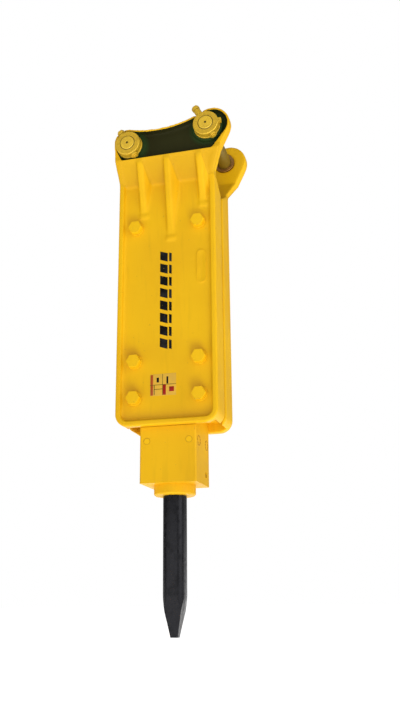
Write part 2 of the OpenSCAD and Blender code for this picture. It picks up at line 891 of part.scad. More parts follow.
module gas_valve() {
    color(bronze) in_frame() difference() {
        union() {
            post(gas_valve_r, back_top_z - gas_valve_seat + over, back_top_z);
            translate([0, 0, back_top_z]) hexagon(gas_valve_af, gas_valve_hex_t);
            post(gas_stem_r, gas_stem_z, gas_stem_z + gas_stem_t);
        }
        post(gas_drill_r, back_top_z - gas_valve_seat, gas_stem_z + gas_stem_t + over);
    }
}

module gas_valve_cap() {
    color(bright) in_frame() difference() {
        post(gas_cap_r, gas_stem_z, gas_stem_z + gas_cap_t);
        post(gas_stem_r + seat_gap, gas_stem_z - over, gas_stem_z + gas_cap_t - gas_cap_roof);
    }
}

// ---------- valve ----------

module valve_housing() {
    color(paint) in_frame() difference() {
        translate([cell_half_w, -housing_half_d, housing_z[0]])
            cube([housing_out - cell_half_w, 2 * housing_half_d, housing_z[1] - housing_z[0]]);
        translate([valve_x, 0, 0]) post(sleeve_r + seat_gap, sleeve_z[0], housing_z[1] + over);
        translate([valve_x, 0, 0]) post(valve_drain_r, sleeve_z[0] - valve_drain_t, sleeve_z[0] + over);
        bar_x(valve_gallery_r, 0, in_port_z, 0, valve_x);
        translate([valve_x, 0, 0]) post(valve_gallery_r, in_port_z, sleeve_z[0]);
        for (z = valve_gallery_z) bar_x(valve_gallery_r, 0, z, 0, valve_x);
        for (s = [-1, 1], z = screw_z) {
            bar_x(screw_r + hole_gap, s * screw_y, z, 0, far / 2);
            bar_x(screw_head_r + hole_gap, s * screw_y, z, housing_out - screw_head_t, far / 2);
        }
    }
}

module valve_sleeve() {
    color(bright) in_frame() translate([valve_x, 0, 0]) difference() {
        post(sleeve_r, sleeve_z[0], sleeve_z[1]);
        post(spool_d / 2, spool_low_z, sleeve_z[1] + over);
        post(spool_d / 2 - sleeve_seat_w, sleeve_z[0] - over, spool_low_z + over);
        for (z = valve_gallery_z) {
            ring(wide_r, sleeve_r - sleeve_groove_t, z - sleeve_groove_half, z + sleeve_groove_half);
            bar_x(sleeve_port_r, 0, z, -far / 2, 0);
        }
    }
}

// Spool with three lands
module valve_spool() {
    top = spool_low_z + spool_len;
    mid = spool_low_z + spool_mid_z;
    color(bright) in_frame() translate([valve_x, 0, 0]) {
        post(spool_r, spool_low_z + slide_gap, spool_low_z + spool_end_t);
        post(spool_r - spool_waist, spool_low_z + spool_end_t, top - spool_end_t);
        post(spool_r, mid, mid + spool_mid_t);
        post(spool_r, top - spool_end_t, top);
    }
}

module valve_plug() {
    color(steel) in_frame() translate([valve_x, 0, 0]) {
        post(sleeve_r, sleeve_z[1] + seat_gap, housing_z[1]);
        translate([0, 0, housing_z[1]]) hexagon(plug_af, plug_hex_t);
    }
}

// Socket head screws that hold the valve housing to the cylinder
module valve_screws() {
    color(dark) in_frame() for (s = [-1, 1], z = screw_z) difference() {
        union() {
            bar_x(screw_r, s * screw_y, z, screw_low_x + over, housing_out - screw_head_t);
            bar_x(screw_head_r, s * screw_y, z, housing_out - screw_head_t, housing_out);
        }
        translate([housing_out - screw_socket_t, s * screw_y, z]) rotate([0, 90, 0])
            hexagon(screw_socket, screw_socket_t + over);
    }
}

module stroke_adjuster() {
    color(steel) in_frame() difference() {
        bar_x(adjuster_r, 0, adjuster_z, -cell_half_w - adjuster_out, -adjuster_in - 2 * over);
        translate([-cell_half_w - adjuster_out - over, 0, adjuster_z]) rotate([0, 90, 0])
            hexagon(adjuster_socket, adjuster_socket + over);
    }
}

module adjuster_locknut() {
    color(steel) in_frame() difference() {
        translate([-cell_half_w - adjuster_nut_t, 0, adjuster_z]) rotate([0, 90, 0])
            hexagon(adjuster_nut_af, adjuster_nut_t);
        bar_x(adjuster_r + seat_gap, 0, adjuster_z, -far / 2, 0);
    }
}

front_side_plate();
rear_side_plate();
ear_bushes();
stick_pin();
link_pin();
pin_collars();
pin_lock_bolts();
pin_lock_nuts();
plate_bolts();
plate_bolt_nuts();
plate_bolt_washers();
front_head();
cylinder_body();  // cylinder
back_head();
tie_rods();
tie_rod_nuts();
tie_rod_washers();
dowel_pins();
piston();
seal_retainer();
retainer_o_rings();
gas_seal();
step_seal();
u_packing();
dust_wiper();
valve_housing();
valve_sleeve();
valve_spool();
valve_plug();
valve_screws();
stroke_adjuster();
adjuster_locknut();
gas_valve();
gas_valve_cap();
thrust_bush();
front_cover();
cover_pin();
tool_retaining_pins();
retaining_stop_pins();
stop_pin_plugs();
grease_nipple();
chisel();
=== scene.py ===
import math
import random

import bmesh
import bpy
from mathutils import Matrix, Vector
from mathutils.bvhtree import BVHTree


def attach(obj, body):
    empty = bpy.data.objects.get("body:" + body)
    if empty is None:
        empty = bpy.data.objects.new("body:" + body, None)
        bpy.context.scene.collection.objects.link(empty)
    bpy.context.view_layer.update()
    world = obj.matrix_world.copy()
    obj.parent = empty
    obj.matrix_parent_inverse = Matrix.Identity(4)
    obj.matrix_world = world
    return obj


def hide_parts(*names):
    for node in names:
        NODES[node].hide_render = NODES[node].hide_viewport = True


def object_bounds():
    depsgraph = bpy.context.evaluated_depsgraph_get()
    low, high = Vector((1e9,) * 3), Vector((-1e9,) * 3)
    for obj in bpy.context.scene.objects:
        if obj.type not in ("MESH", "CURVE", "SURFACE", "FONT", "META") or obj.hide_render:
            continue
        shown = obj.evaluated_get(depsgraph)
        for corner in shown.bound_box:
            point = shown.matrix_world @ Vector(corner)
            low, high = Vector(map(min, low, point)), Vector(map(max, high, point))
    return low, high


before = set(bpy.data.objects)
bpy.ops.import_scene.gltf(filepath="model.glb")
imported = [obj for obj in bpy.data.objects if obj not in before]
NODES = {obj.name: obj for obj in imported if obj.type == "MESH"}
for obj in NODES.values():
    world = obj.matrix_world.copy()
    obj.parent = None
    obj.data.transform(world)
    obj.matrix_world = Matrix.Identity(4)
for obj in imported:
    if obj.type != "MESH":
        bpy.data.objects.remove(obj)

cad_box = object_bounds()
MM = 0.001
random.seed(7)

# ---------- places, in metres unless they say millimetres ----------

# The tool's axis in X, and the side plates' bottom edge in Z
TOOL_X, PLATE_Z = -0.156, -1.013
# The two mounting pins' axes
STICK = Vector((0.0, 0.0, 0.0))
LINK = Vector((-0.2775, 0.0, -0.0315))
# Face of a side plate's sunk panel, in metres and in millimetres, and where its sides round up
PANEL_Y = 0.091
PANEL = PANEL_Y / MM
PANEL_SIDE = (0.148, 0.156)
# Slope below the ear shelf, from its foot to its lip, in millimetres
LAP_Z, LAP_Y, LIP_Z, LIP_Y = 850, 97, 920, 144
# Through bolts: X from the tool's axis, and each row's height with how strong the painted shadow on the panel
# above it is
BOLT_X, BOLT_ROWS = (-0.109, 0.109), ((0.092, 0.9), (0.214, 1.0), (0.688, 0.6))
# Each side plate's side in Y, with its name
BOTH_SIDES = ((-1, "front"), (1, "rear"))


def at(x, y, z):
    """A place given in millimetres from the tool's axis and the side plates' bottom edge."""
    return Vector((TOOL_X + x * MM, y * MM, PLATE_Z + z * MM))


# ---------- node materials ----------

# Colour sockets of a Mix node: its factor, its two inputs and its result
MIX_INPUTS, MIX_RESULT = (0, 6, 7), 2
# Where an edge and a corner start to show and are full, and how many samples look for each
EDGE_SEEN, CORNER_SEEN, EDGE_SAMPLES, CORNER_SAMPLES = (0.995, 0.9), (0.85, 0.2), 4, 6
# How near the slope and the panel a point counts as on them, and where the painted shade on the slope starts
# and is full, in millimetres above the slope's foot
SLOPE_SKIN, PANEL_SKIN, SLOPE_START = (0.005, 0.011), (0.002, 0.005), (-8, 4)
# Painted shadow above the lower rim: the heights where it starts to fade and ends, and its amount
RIM_SHADOW, RIM_SHADOW_AMOUNT = (0.020, 0.074), 0.9
# Painted shadow above a bolt: how it fades sideways and upwards, where it starts about the bolt's middle, and
# its lean
BOLT_SHADOW_SIDE, BOLT_SHADOW_TOP, BOLT_SHADOW_FOOT, BOLT_SHADOW_LEAN = (0.008, 0.036), (0.026, 0.076), (-0.01, 0.02), 0.3


class Shader:
    """A Principled material that is built up from its node tree. Noise scales are cycles a metre."""

    def __init__(self, name, base, rough, metal=0.0, **sockets):
        self.mat = bpy.data.materials.new(name)
        self.mat.use_nodes = True
        self.tree = self.mat.node_tree
        self.bsdf = self.tree.nodes["Principled BSDF"]
        self.set("Base Color", (*base, 1.0))
        self.set("Roughness", rough)
        self.set("Metallic", metal)
        for key, value in sockets.items():
            self.set(key.replace("_", " "), value)
        self.coords = self.tree.nodes.new("ShaderNodeTexCoord").outputs["Object"]
        self.mat.diffuse_color = (*base, 1.0)

    def set(self, socket, value):
        self.bsdf.inputs[socket].default_value = value

    def link(self, socket, value):
        self.feed(self.bsdf.inputs[socket], value)

    def node(self, kind, **inputs):
        n = self.tree.nodes.new(kind)
        for key, value in inputs.items():
            self.feed(n.inputs[key.replace("_", " ")], value)
        return n

    def feed(self, socket, value):
        """Links a socket to another node's output, or sets its value."""
        if isinstance(value, bpy.types.NodeSocket):
            self.tree.links.new(value, socket)
        elif isinstance(value, tuple) and len(value) == 3 and socket.type == "RGBA":
            socket.default_value = (*value, 1.0)
        else:
            socket.default_value = value

    def noise(self, scale, detail=3.0, rough=0.5, stretch=None):
        vector = self.coords
        if stretch:
            vector = self.node("ShaderNodeMapping", Vector=self.coords, Scale=stretch).outputs[0]
        return self.node("ShaderNodeTexNoise", Vector=vector, Scale=scale, Detail=detail,
                         Roughness=rough).outputs["Fac"]

    def math(self, op, a, b=0.0, c=0.0, clamp=False):
        n = self.tree.nodes.new("ShaderNodeMath")
        n.operation, n.use_clamp = op, clamp
        for i, v in enumerate((a, b, c)):
            self.feed(n.inputs[i], v)
        return n.outputs[0]

    def times(self, a, b):
        return self.math("MULTIPLY", a, b)

    def apart(self, a, b):
        """How far apart two values are."""
        return self.math("ABSOLUTE", self.math("SUBTRACT", a, b))

    def ramp(self, value, low, high, to_low=0.0, to_high=1.0):
        """A smooth step from to_low at low to to_high at high."""
        n = self.tree.nodes.new("ShaderNodeMapRange")
        n.clamp = True
        n.interpolation_type = "SMOOTHSTEP"
        for i, v in enumerate((value, low, high, to_low, to_high)):
            self.feed(n.inputs[i], v)
        return n.outputs[0]

    def fade(self, value, low, high, full=1.0):
        """The full amount up to low, and nothing past high."""
        return self.ramp(value, low, high, full, 0.0)

    def mix(self, fac, a, b):
        n = self.tree.nodes.new("ShaderNodeMix")
        n.data_type = "RGBA"
        for i, v in zip(MIX_INPUTS, (fac, a, b)):
            self.feed(n.inputs[i], v)
        return n.outputs[MIX_RESULT]

    def axes(self):
        return self.node("ShaderNodeSeparateXYZ", Vector=self.coords).outputs

    def pin_distance(self):
        """Distance from the nearer mounting pin's axis."""
        x, _, z = self.axes()
        found = []
        for pin in (STICK, LINK):
            dx, dz = self.math("SUBTRACT", x, pin.x), self.math("SUBTRACT", z, pin.z)
            found.append(self.math("SQRT", self.math("ADD", self.times(dx, dx), self.times(dz, dz))))
        return self.math("MINIMUM", *found)

    def on_slope(self):
        """1 on the side plates' slope below the ear shelf, between the ribs."""
        _, y, z = self.axes()
        rise = (LIP_Y - LAP_Y) / (LIP_Z - LAP_Z)
        slope = self.math("MULTIPLY_ADD", z, rise, (LAP_Y - LAP_Z * rise) * MM - PLATE_Z * rise)
        start, full = (PLATE_Z + (LAP_Z + dz) * MM for dz in SLOPE_START)
        return self.times(self.fade(self.apart(self.math("ABSOLUTE", y), slope), *SLOPE_SKIN),
                          self.ramp(z, start, full))

    def on_panel(self):
        """1 on the side plates' sunk panels."""
        x, y, _ = self.axes()
        return self.times(self.fade(self.apart(self.math("ABSOLUTE", y), PANEL_Y), *PANEL_SKIN),
                          self.fade(self.apart(x, TOOL_X), *PANEL_SIDE))

    def painted_shadows(self):
        """Painted shadow on the panels: above each through bolt, leaning to -X, and above the lower rim."""
        x, _, z = self.axes()
        found = self.fade(z, *(PLATE_Z + height for height in RIM_SHADOW), full=RIM_SHADOW_AMOUNT)
        for bolt_x in BOLT_X:
            for bolt_z, amount in BOLT_ROWS:
                rise = self.math("SUBTRACT", z, PLATE_Z + bolt_z)
                middle = self.math("MULTIPLY_ADD", rise, -BOLT_SHADOW_LEAN, TOOL_X + bolt_x)
                body = self.times(self.fade(self.apart(x, middle), *BOLT_SHADOW_SIDE, full=amount),
                                  self.fade(rise, *BOLT_SHADOW_TOP))
                found = self.math("MAXIMUM", found, self.times(body, self.ramp(rise, *BOLT_SHADOW_FOOT)))
        return self.times(found, self.on_panel())

    def edge(self, radius):
        """1 on sharp outer and inner edges, 0 on flat faces."""
        bevel = self.tree.nodes.new("ShaderNodeBevel")
        bevel.samples = EDGE_SAMPLES
        bevel.inputs["Radius"].default_value = radius
        geometry = self.tree.nodes.new("ShaderNodeNewGeometry")
        dot = self.tree.nodes.new("ShaderNodeVectorMath")
        dot.operation = "DOT_PRODUCT"
        self.feed(dot.inputs[0], bevel.outputs[0])
        self.feed(dot.inputs[1], geometry.outputs["Normal"])
        return self.ramp(dot.outputs["Value"], *EDGE_SEEN)

    def cavity(self, distance):
        """1 deep in a corner, 0 in the open."""
        ao = self.tree.nodes.new("ShaderNodeAmbientOcclusion")
        ao.samples = CORNER_SAMPLES
        ao.inputs["Distance"].default_value = distance
        return self.ramp(ao.outputs["AO"], *CORNER_SEEN)

    def patchy_roughness(self, scale, detail, low, high):
        """Roughness that wanders between low and high."""
        return self.ramp(self.noise(scale, detail), 0.3, 0.7, low, high)

    def bump(self, height, distance, strength, under=None):
        """A bumped normal, on top of the bump under it if there is one."""
        n = self.node("ShaderNodeBump", Strength=strength, Distance=distance, Height=height)
        if under:
            self.feed(n.inputs["Normal"], under)
        return n.outputs[0]


def tint(colour, factor, lift=0.0):
    """A colour times one number, or times one for each channel, and lifted."""
    factors = factor if isinstance(factor, tuple) else (factor,) * 3
    return tuple(min(1.0, c * f + lift) for c, f in zip(colour, factors))


# Tints of the enamel's deep colour in runs, in corner dust with painted shade, in painted shade on the slope
# and in painted shadows on the panels, and what chips lay bare
RUN_TINT, CORNER_DUST_AND_SHADE_TINT, SLOPE_SHADE_TINT, PAINTED_SHADOW_TINT = 0.82, (0.38, 0.32, 0.5), 0.6, (0.84, 0.72, 2.5)
BARE_METAL = (0.09, 0.06, 0.035)
SPOT_AMOUNT, SOIL_ROUGHNESS = 0.2, 0.25
# Stain round the mounting pins inside the ear pocket: the radii where it fades and ends, and its amount
PIN_STAIN, PIN_STAIN_AMOUNT = (0.050, 0.074), 0.85


def paint(name, light, deep, rough=0.42, dust_and_shade_amount=0.15, chips=0.6, gloss=0.14, near_pins=None, slope_shade=0.0,
          painted_shadow=0.0):
    """Sprayed enamel over casting: colour drift, orange peel, dust with painted shade in corners, painted
    shade on the slope and painted shadows on the panels where asked, and a few chips on edges.
    """
    s = Shader(name, light, rough, Specular_IOR_Level=gloss)
    drift = s.ramp(s.noise(3.5, 4.0), 0.35, 0.7)
    colour = s.mix(drift, light, deep)
    runs = s.ramp(s.noise(6.0, 3.0, stretch=(9.0, 9.0, 1.2)), 0.52, 0.75, 0.0, 0.25)
    colour = s.mix(runs, colour, tint(deep, RUN_TINT))
    # Dust in corners together with painted shade there, found by the Ambient Occlusion node
    corner_dust_and_shade = s.times(s.cavity(0.018), s.ramp(s.noise(24.0, 5.0), 0.25, 0.7))
    colour = s.mix(s.times(corner_dust_and_shade, dust_and_shade_amount), colour, tint(deep, CORNER_DUST_AND_SHADE_TINT))
    # Painted shade on the slope below the ear shelf, darker than its light gives
    if slope_shade:
        colour = s.mix(s.times(s.on_slope(), slope_shade), colour, tint(deep, SLOPE_SHADE_TINT))
    # Painted shadows above the through bolts and above the lower rim on the panels
    if painted_shadow:
        colour = s.mix(s.times(s.painted_shadows(), painted_shadow), colour, tint(deep, PAINTED_SHADOW_TINT))
    if near_pins:
        colour = s.mix(s.fade(s.pin_distance(), *PIN_STAIN, full=PIN_STAIN_AMOUNT), colour, near_pins)
    spots = s.ramp(s.noise(95.0, 2.0), 0.735, 0.76)
    worn = s.times(s.edge(0.003), s.ramp(s.noise(42.0, 6.0), 0.62, 0.68))
    bare = s.math("MAXIMUM", s.times(spots, SPOT_AMOUNT), s.times(worn, chips))
    s.link("Base Color", s.mix(bare, colour, BARE_METAL))
    patches = s.patchy_roughness(11.0, 5.0, rough - 0.06, rough + 0.1)
    s.link("Roughness", s.math("ADD", patches, s.times(corner_dust_and_shade, SOIL_ROUGHNESS), clamp=True))
    peel = s.bump(s.noise(520.0, 2.0), 0.00012, 0.5)
    s.link("Normal", s.bump(s.noise(58.0, 4.0), 0.0006, 0.35, under=peel))
    return s.mat


# Turned pin ends: the grooves' pitch, and the radii between which painted shade darkens the gap round the pin
# and its centre hole and clears again
TURN_PITCH, RING_IN, RING_OUT, CENTRE_DOT = 0.0032, (0.0238, 0.0246), (0.0272, 0.0264), (0.0052, 0.0038)
RING_AMOUNT, RING_TINT = 0.85, 0.12


def steel(name, base, rough, metal=0.9, stain=(0.12, 0.08, 0.05), amount=0.3, turned=0.0, streaks=0.0):
    """Machined or forged steel, with stains, fine scratches and optional turning marks round the pin axes
    together with painted shade in the gap round each pin and in its centre hole.
    """
    s = Shader(name, base, rough, metal)
    patch = s.ramp(s.noise(30.0, 6.0, 0.6), 0.45, 0.75)
    colour = s.mix(s.times(patch, amount), base, stain)
    fine = s.noise(160.0, 4.0)
    colour = s.mix(s.ramp(fine, 0.35, 0.65, 0.0, 0.3), colour, tint(base, 1.35))
    colour = s.mix(s.times(s.cavity(0.006), 0.7), colour, tint(stain, 0.35))
    colour = s.mix(s.times(s.edge(0.0015), 0.35), colour, tint(base, 1.8, lift=0.02))
    normal = s.bump(fine, 0.0001, 0.5)
    if streaks:
        normal = s.bump(s.noise(14.0, 5.0, stretch=(1.0, 1.0, 0.12)), 0.0012, streaks, under=normal)
    if turned:
        # Painted shade in the gap round the pin and in its centre hole
        radius = s.pin_distance()
        gap = s.math("MINIMUM", s.ramp(radius, *RING_IN), s.ramp(radius, *RING_OUT))
        pin_gap_shade = s.math("MAXIMUM", gap, s.ramp(radius, *CENTRE_DOT))
        colour = s.mix(s.times(pin_gap_shade, RING_AMOUNT), colour, tint(base, RING_TINT))
        normal = s.bump(s.math("PINGPONG", radius, TURN_PITCH / 2), 0.0002, turned, under=normal)
    s.link("Base Color", colour)
    s.link("Roughness", s.patchy_roughness(75.0, 5.0, rough - 0.08, rough + 0.12))
    s.link("Normal", normal)
    return s.mat


def rubber(name, base):
    """Moulded rubber with a slight bloom."""
    s = Shader(name, base, 0.6)
    s.link("Base Color", s.mix(s.ramp(s.noise(45.0, 5.0), 0.4, 0.7), base, tint(base, 2.2)))
    s.link("Roughness", s.patchy_roughness(90.0, 4.0, 0.5, 0.75))
    s.link("Normal", s.bump(s.noise(700.0, 3.0), 0.00008, 0.6))
    return s.mat


# Printed film's roughness and gloss, and the colour that shows where it is rubbed
FILM_ROUGH, FILM_GLOSS, FILM_RUBBED = 0.4, 0.1, (0.5, 0.3, 0.04)


def vinyl(name, base):
    """Printed film with faded patches and rubbed spots."""
    s = Shader(name, base, FILM_ROUGH, Specular_IOR_Level=FILM_GLOSS)
    colour = s.mix(s.ramp(s.noise(20.0, 4.0), 0.4, 0.7), base, tint(base, 0.85, lift=0.02))
    rubbed = s.ramp(s.noise(130.0, 4.0), 0.7, 0.74, 0.0, 0.5)
    s.link("Base Color", s.mix(rubbed, colour, FILM_RUBBED))
    s.link("Roughness", s.patchy_roughness(35.0, 3.0, FILM_ROUGH - 0.08, FILM_ROUGH + 0.1))
    s.link("Normal", s.bump(s.noise(260.0, 2.0), 0.00006, 0.4))
    return s.mat


body_paint = paint("body_paint", (0.83, 0.475, 0.006), (0.76, 0.415, 0.006), dust_and_shade_amount=0.06, slope_shade=0.45,
                   painted_shadow=0.5)
cell_paint = paint("cell_paint", (0.82, 0.46, 0.006), (0.74, 0.40, 0.006), rough=0.4)
pocket_paint = paint("pocket_paint", (0.020, 0.019, 0.005), (0.028, 0.028, 0.008), rough=0.55, dust_and_shade_amount=0.2,
                     chips=0.1, gloss=0.06, near_pins=(0.022, 0.050, 0.012))
bolt_paint = paint("bolt_paint", (0.86, 0.50, 0.006), (0.82, 0.47, 0.006), rough=0.4)
zinc = steel("pin_zinc", (0.68, 0.42, 0.022), 0.4, 0.35, stain=(0.36, 0.21, 0.02), amount=0.6, turned=0.4)
# A lighter copy of the collars' zinc, as painted light on the pins where they lie in shade
pin_zinc = steel("lit_turned_pin_zinc", (0.77, 0.49, 0.03), 0.42, 0.25, stain=(0.50, 0.30, 0.03), amount=0.5,
                 turned=0.4)
chisel_steel = steel("chisel_forged", (0.022, 0.022, 0.025), 0.27, 0.88, stain=(0.008, 0.008, 0.009),
                     amount=0.8, streaks=0.5)
ground = steel("ground_steel", (0.52, 0.53, 0.55), 0.24, 1.0, amount=0.12)
oxide = steel("black_oxide", (0.055, 0.056, 0.06), 0.4, 0.8, amount=0.25)
bronze = steel("bush_bronze", (0.42, 0.22, 0.06), 0.38, 0.8, stain=(0.08, 0.035, 0.012), amount=0.7)
seal_black = rubber("seal_black", (0.025, 0.025, 0.027))

# Each CAD node's material. A node that isn't named here is ground steel.
FINISH = {
    "front_head": cell_paint, "cylinder": cell_paint, "back_head": cell_paint, "valve_housing": cell_paint,
    "front_cover": cell_paint, "plate_bolts": bolt_paint, "plate_bolt_nuts": bolt_paint,
    "plate_bolt_washers": bolt_paint, "stick_pin": pin_zinc, "link_pin": pin_zinc, "pin_collars": zinc,
    "pin_lock_bolts": zinc, "pin_lock_nuts": zinc, "ear_bushes": bronze, "grease_nipple": bronze,
    "gas_valve": bronze, "chisel": chisel_steel, "retainer_o_rings": seal_black, "gas_seal": seal_black,
    "step_seal": seal_black, "u_packing": seal_black, "dust_wiper": seal_black,
    "stop_pin_plugs": bolt_paint, "tool_retaining_pins": cell_paint, "cover_pin": cell_paint,
    "tie_rods": oxide, "tie_rod_nuts": oxide, "tie_rod_washers": oxide, "valve_plug": oxide,
    "valve_screws": oxide, "stroke_adjuster": oxide, "adjuster_locknut": oxide,
}
# How wide each CAD node's edges are rounded, in millimetres
EASE = {
    "front_head": 3.0, "cylinder": 3.0, "back_head": 3.0, "valve_housing": 2.5, "front_cover": 2.5,
    "chisel": 1.2, "plate_bolts": 6.0, "plate_bolt_nuts": 2.5, "plate_bolt_washers": 1.5, "pin_collars": 1.2,
    "stick_pin": 0.8, "link_pin": 0.8, "pin_lock_bolts": 1.2, "pin_lock_nuts": 1.0, "tie_rod_nuts": 1.5,
    "valve_plug": 1.0, "ear_bushes": 0.8, "gas_valve_cap": 1.0, "gas_valve": 0.6, "stop_pin_plugs": 1.0,
    "tool_retaining_pins": 1.0,
}
SMALL_EASE, EASE_SEGMENTS = 0.3, 4
# Vertices nearer than WELD_GAP are joined, and so are faces that meet at less than FLAT. Edges over SHARP are
# rounded.
WELD_GAP, FLAT, SHARP = 0.00001, math.radians(0.5), math.radians(32)
NORMAL_WEIGHT, PLATE_NORMAL_WEIGHT = 80, 60


def ease_edges(obj, width):
    """Rounds a CAD node's sharp edges and smooths its shading, with its own mesh left as it is."""
    obj.modifiers.new("weld", "WELD").merge_threshold = WELD_GAP
    flat = obj.modifiers.new("flat", "DECIMATE")
    flat.decimate_type, flat.angle_limit = "DISSOLVE", FLAT
    bevel = obj.modifiers.new("ease", "BEVEL")
    bevel.width, bevel.segments = width * MM, EASE_SEGMENTS
    bevel.limit_method, bevel.angle_limit = "ANGLE", SHARP
    obj.modifiers.new("normals", "WEIGHTED_NORMAL").weight = NORMAL_WEIGHT


for name, obj in NODES.items():
    obj.data.materials.clear()
    obj.data.materials.append(FINISH.get(name, ground))
    ease_edges(obj, EASE.get(name, SMALL_EASE))


# ---------- side plates: welded and cast, so every edge and corner is soft ----------

VOXEL, SMOOTH_FACTOR, SMOOTH_STEPS, THIN_RATIO = 0.003, 0.5, 14, 0.34
# Gusset ribs, in millimetres: their places, feet and half width, and where their faces end at the top
RIB_X, RIB_FOOT, RIB_HALF, RIB_TOP_Z, RIB_TOP_Y = (-84, 12, 125), (731, 640, 750), 10, 918, 148
# A rib's fillets: each side and how far it spreads for its height, the width at the foot, and the sections
FILLET_SIDES, FILLET_FOOT, FILLET_SECTIONS = ((1, 0.5), (-1, 0.1)), 3, 12
# How deep a fillet is buried in the panel and the rib, how proud its outer edge stands, and how far below the
# rib's face it starts inside the rib and at its side
FILLET_ROOT, FILLET_IN, FILLET_EDGE, FILLET_TOP, FILLET_DROP = 4, 2, 0.3, 0.5, 1
# The cast toe under each rib: its size, and how far it stands to +X of the rib's middle
TOE, TOE_SHIFT = (30, 9, 14), 2
# The ear's sunk pocket: its floor and its mouth in Y, and its foot in Z
POCKET_FLOOR_Y, POCKET_MOUTH_Y, POCKET_LOW_Z = 0.1245, 0.1495, -0.0875
# The softened plate's faces that may be the pocket's: above SHELF_Z, and between these in Y
SHELF_Z, POCKET_NEAR_Y, POCKET_TOP_Y = -0.0885, 0.118, 0.1478


def in_pocket(corners):
    """True for a face of the sunk ear pocket: its floor, its walls and the bosses' sides."""
    return (POCKET_FLOOR_Y < min(abs(c.y) for c in corners) < POCKET_MOUTH_Y
            and min(c.z for c in corners) > POCKET_LOW_Z)


def lerp(value, a, b, low, high):
    """Goes from low at a to high at b, and no further."""
    return low + (high - low) * min(1.0, max(0.0, (value - a) / (b - a)))


def skin(bm, rings, closed=False):
    """Faces from each ring of vertices to the next, and over both ends unless the rings make a loop."""
    n = len(rings[0])
    for low, high in zip(rings, rings[1:] + (rings[:1] if closed else [])):
        for i in range(n):
            bm.faces.new((low[i], low[(i + 1) % n], high[(i + 1) % n], high[i]))
    if not closed:
        bm.faces.new(rings[0][::-1])
        bm.faces.new(rings[-1])


def fillet_section(x, way, spread, z, foot):
    """A rib fillet's outline at one height, as places in X and Y."""
    face = lerp(z, foot, RIB_TOP_Z, PANEL, RIB_TOP_Y)
    base = PANEL if z < LAP_Z else lerp(z, LAP_Z, LIP_Z, LAP_Y, LIP_Y)
    width = FILLET_FOOT + spread * max(0.0, face - base)
    inner, outer = x + way * (RIB_HALF - FILLET_IN), x + way * (RIB_HALF + width)
    return ((inner, face - FILLET_TOP), (inner, base - FILLET_ROOT), (outer, base - FILLET_ROOT),
            (outer, base + FILLET_EDGE), (x + way * RIB_HALF, face - FILLET_DROP))


def add_rib_fillets(bm, side):
    """The cast fillets down both sides of each rib, wide on the +X side, and the small toe at its foot."""
    for x, foot in zip(RIB_X, RIB_FOOT):
        for way, spread in FILLET_SIDES:
            rings = []
            for k in range(FILLET_SECTIONS):
                z = lerp(k, 0, FILLET_SECTIONS - 1, foot, RIB_TOP_Z)
                rings.append([bm.verts.new(at(u, side * y, z))
                              for u, y in fillet_section(x, way, spread, z, foot)])
            skin(bm, rings)
        for v in bmesh.ops.create_cube(bm, size=1.0)["verts"]:
            v.co = at(x + TOE_SHIFT + v.co.x * TOE[0], side * (PANEL + v.co.y * TOE[1]),
                      foot + v.co.z * TOE[2])


def remeshed(name, mesh):
    """The mesh rebuilt in voxels, smoothed and thinned out."""
    work = bpy.data.objects.new(name, mesh)
    bpy.context.scene.collection.objects.link(work)
    remesh = work.modifiers.new("remesh", "REMESH")
    remesh.mode, remesh.voxel_size, remesh.use_smooth_shade = "VOXEL", VOXEL, True
    smooth = work.modifiers.new("smooth", "SMOOTH")
    smooth.factor, smooth.iterations = SMOOTH_FACTOR, SMOOTH_STEPS
    work.modifiers.new("thin", "DECIMATE").ratio = THIN_RATIO
    done = bpy.data.meshes.new_from_object(work.evaluated_get(bpy.context.evaluated_depsgraph_get()))
    bpy.data.objects.remove(work)
    return done


def paint_pocket(mesh, side, tree, pocket):
    """Gives the mesh's faces the second material where the CAD plate's nearest face is in its ear pocket."""
    bm = bmesh.new()
    bm.from_mesh(mesh)
    for co, no in (((0, side * POCKET_TOP_Y, 0), (0, 1, 0)), ((0, 0, SHELF_Z), (0, 0, 1))):
        bmesh.ops.bisect_plane(bm, geom=bm.verts[:] + bm.edges[:] + bm.faces[:], plane_co=co, plane_no=no,
                               dist=1e-6)
    for f in bm.faces:
        f.smooth = True
        middle = f.calc_center_median()
        if middle.z > SHELF_Z and POCKET_NEAR_Y < abs(middle.y) < POCKET_TOP_Y:
            f.material_index = 1 if pocket[tree.find_nearest(middle)[2]] else 0
    bm.to_mesh(mesh)
    bm.free()


def soft_plate(node):
    """Replaces a CAD side plate with a soft-edged copy that has cast fillets on its ribs."""
    mesh = NODES[node].data.copy()
    side = -1 if mesh.vertices[0].co.y < 0 else 1
    bm = bmesh.new()
    bm.from_mesh(mesh)
    bmesh.ops.remove_doubles(bm, verts=bm.verts, dist=WELD_GAP)
    bm.faces.ensure_lookup_table()
    tree = BVHTree.FromBMesh(bm)
    pocket = [in_pocket([v.co for v in f.verts]) for f in bm.faces]
    add_rib_fillets(bm, side)
    bmesh.ops.recalc_face_normals(bm, faces=bm.faces)
    bm.to_mesh(mesh)
    bm.free()
    done = remeshed(node + "_work", mesh)
    done.materials.clear()
    done.materials.append(body_paint)
    done.materials.append(pocket_paint)
    paint_pocket(done, side, tree, pocket)
    piece = bpy.data.objects.new("painted_" + node, done)
    bpy.context.scene.collection.objects.link(piece)
    piece.modifiers.new("normals", "WEIGHTED_NORMAL").weight = PLATE_NORMAL_WEIGHT
    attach(piece, "hammer_frame")
    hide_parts(node)


for node in ("front_side_plate", "rear_side_plate"):
    soft_plate(node)


# ---------- added pieces: printed films, welds and sealer ----------

# A film's root below the panel, its rounded edge's height, and how much smaller its top is
FILM_ROOT, FILM_EDGE, FILM_TOP = -0.4, 0.12, 0.985
